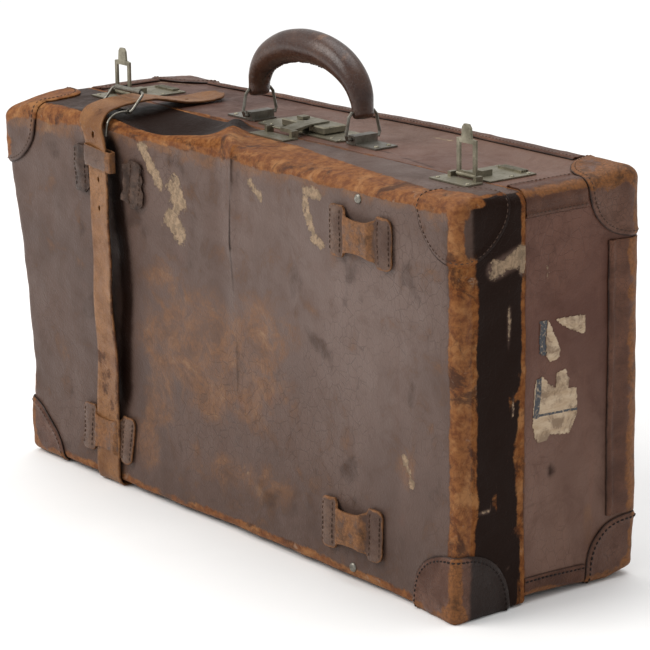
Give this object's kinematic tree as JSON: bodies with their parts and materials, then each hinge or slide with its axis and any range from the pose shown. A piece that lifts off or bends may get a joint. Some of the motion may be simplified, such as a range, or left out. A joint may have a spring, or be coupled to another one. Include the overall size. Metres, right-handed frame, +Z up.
{
  "type": "leather suitcase",
  "caption": "Old hard leather suitcase standing on its long hinged edge, with a top handle on dee rings, fold-over catches, strap loops and a buckled strap.",
  "frame": {"origin": "on the standing surface, under the middle of the whole case", "axes": "+Z up, +X along the length, -Y out of the lid's face, +Y out of the base's back"},
  "size_m": [0.66, 0.2213, 0.4565],
  "materials": {
    "case_leather": "worn, waxed, grey-brown with orange rubbed edges",
    "dark_leather": "dark brown, polished by use",
    "strap_leather": "tan bridle leather, scuffed",
    "lining_cloth": "plain drill lining",
    "steel": "tarnished, dull",
    "brass": "tarnished, dull"
  },
  "bodies": {
    "base": {"back_loop_lower_left": "case_leather", "back_loop_lower_right": "case_leather", "back_loop_upper_left": "case_leather", "back_loop_upper_right": "case_leather", "base_back_panel": "case_leather", "base_binding_bottom": "case_leather", "base_binding_left": "case_leather", "base_binding_right": "case_leather", "base_binding_top": "case_leather", "base_corner_bottom_left": "dark_leather", "base_corner_bottom_right": "dark_leather", "base_corner_top_left": "dark_leather", "base_corner_top_right": "dark_leather", "base_lining": "lining_cloth", "base_rim_lip": "dark_leather", "base_wall": "case_leather", "catch_receiver_left": "steel", "catch_receiver_right": "steel", "handle_staple_left": "steel", "handle_staple_right": "steel", "hinge_leaf_base_left": "steel", "hinge_leaf_base_right": "steel", "hinge_pin_left": "steel", "hinge_pin_right": "steel", "lock_plate": "brass", "lock_case": "brass", "lock_spring": "steel", "strap_back": "strap_leather", "strap_tongue_end": "strap_leather"},
    "lid": {"catch_plate_left": "steel", "catch_plate_right": "steel", "front_loop_lower_left": "case_leather", "front_loop_lower_right": "case_leather", "front_loop_upper_right": "case_leather", "front_rivet_lower": "steel", "front_rivet_upper": "steel", "hinge_leaf_lid_left": "steel", "hinge_leaf_lid_right": "steel", "lid_corner_bottom_left": "dark_leather", "lid_corner_bottom_right": "dark_leather", "lid_corner_top_left": "dark_leather", "lid_corner_top_right": "dark_leather", "lid_front_panel": "case_leather", "lid_lining": "lining_cloth", "lid_wall": "case_leather", "torn_loop_tab_inner": "case_leather", "torn_loop_tab_outer": "case_leather", "strap_front": "strap_leather", "lock_hasp_plate": "brass"},
    "keeper": {"strap_keeper": "strap_leather"},
    "buckle_frame": {"buckle_frame": "steel"},
    "buckle_roller": {"buckle_roller": "steel"},
    "buckle_prong": {"buckle_prong": "steel"},
    "ring_left": {"handle_ring_left": "steel"},
    "ring_right": {"handle_ring_right": "steel"},
    "handle": {"handle_grip": "dark_leather"},
    "catch_left": {"catch_hasp_left": "steel"},
    "catch_right": {"catch_hasp_right": "steel"},
    "lock_hasp": {"lock_hasp": "brass"},
    "lock_slider": {"lock_slider": "brass"}
  },
  "joints": [
    {"name": "lid_hinge", "type": "hinge", "parent": "base", "child": "lid", "pos_m": [0, -0.0275, 0.0016], "axis": [1, 0, 0], "range_deg": [0, 105]},
    {"name": "handle_ring_left_tilt", "type": "hinge", "parent": "base", "child": "ring_left", "pos_m": [-0.0775, 0, 0.367], "axis": [0, 1, 0], "range_deg": [-35, 35]},
    {"name": "handle_on_ring_left", "type": "hinge", "parent": "ring_left", "child": "handle", "pos_m": [-0.0775, 0, 0.391], "axis": [0, 1, 0], "range_deg": [-35, 35]},
    {"name": "handle_ring_right_tilt", "type": "hinge", "parent": "base", "child": "ring_right", "pos_m": [0.0775, 0, 0.367], "axis": [0, 1, 0], "range_deg": [-35, 35]},
    {"name": "catch_left_fold", "type": "hinge", "parent": "lid", "child": "catch_left", "pos_m": [-0.258, -0.031, 0.3658], "axis": [-1, 0, 0], "range_deg": [-80, 88]},
    {"name": "catch_right_fold", "type": "hinge", "parent": "lid", "child": "catch_right", "pos_m": [0.258, -0.031, 0.3658], "axis": [-1, 0, 0], "range_deg": [-80, 88]},
    {"name": "lock_hasp_lift", "type": "hinge", "parent": "lid", "child": "lock_hasp", "pos_m": [0, -0.031, 0.3673], "axis": [1, 0, 0], "range_deg": [0, 100]},
    {"name": "lock_slider_travel", "type": "slide", "parent": "base", "child": "lock_slider", "axis": [1, 0, 0], "range_m": [0, 0.008]},
    {"name": "keeper_slide", "type": "slide", "parent": "lid", "child": "keeper", "axis": [0, 0, 1], "range_m": [-0.012, 0.008]},
    {"name": "buckle_frame_lift", "type": "hinge", "parent": "lid", "child": "buckle_frame", "pos_m": [-0.19, -0.086, 0.3664], "axis": [1, 0, 0], "range_deg": [0, 60]},
    {"name": "buckle_roller_spin", "type": "hinge", "parent": "buckle_frame", "child": "buckle_roller", "pos_m": [-0.19, -0.071, 0.383], "axis": [1, 0, 0], "continuous": true},
    {"name": "buckle_prong_swing", "type": "hinge", "parent": "lid", "child": "buckle_prong", "pos_m": [-0.1685, -0.086, 0.3664], "axis": [1, 0, 0], "range_deg": [-120, 0]}
  ],
  "couplings": [
    {"joint": "handle_on_ring_left", "follows": "handle_ring_left_tilt", "ratio": -1},
    {"joint": "handle_ring_right_tilt", "follows": "handle_ring_left_tilt", "ratio": 1}
  ]
}
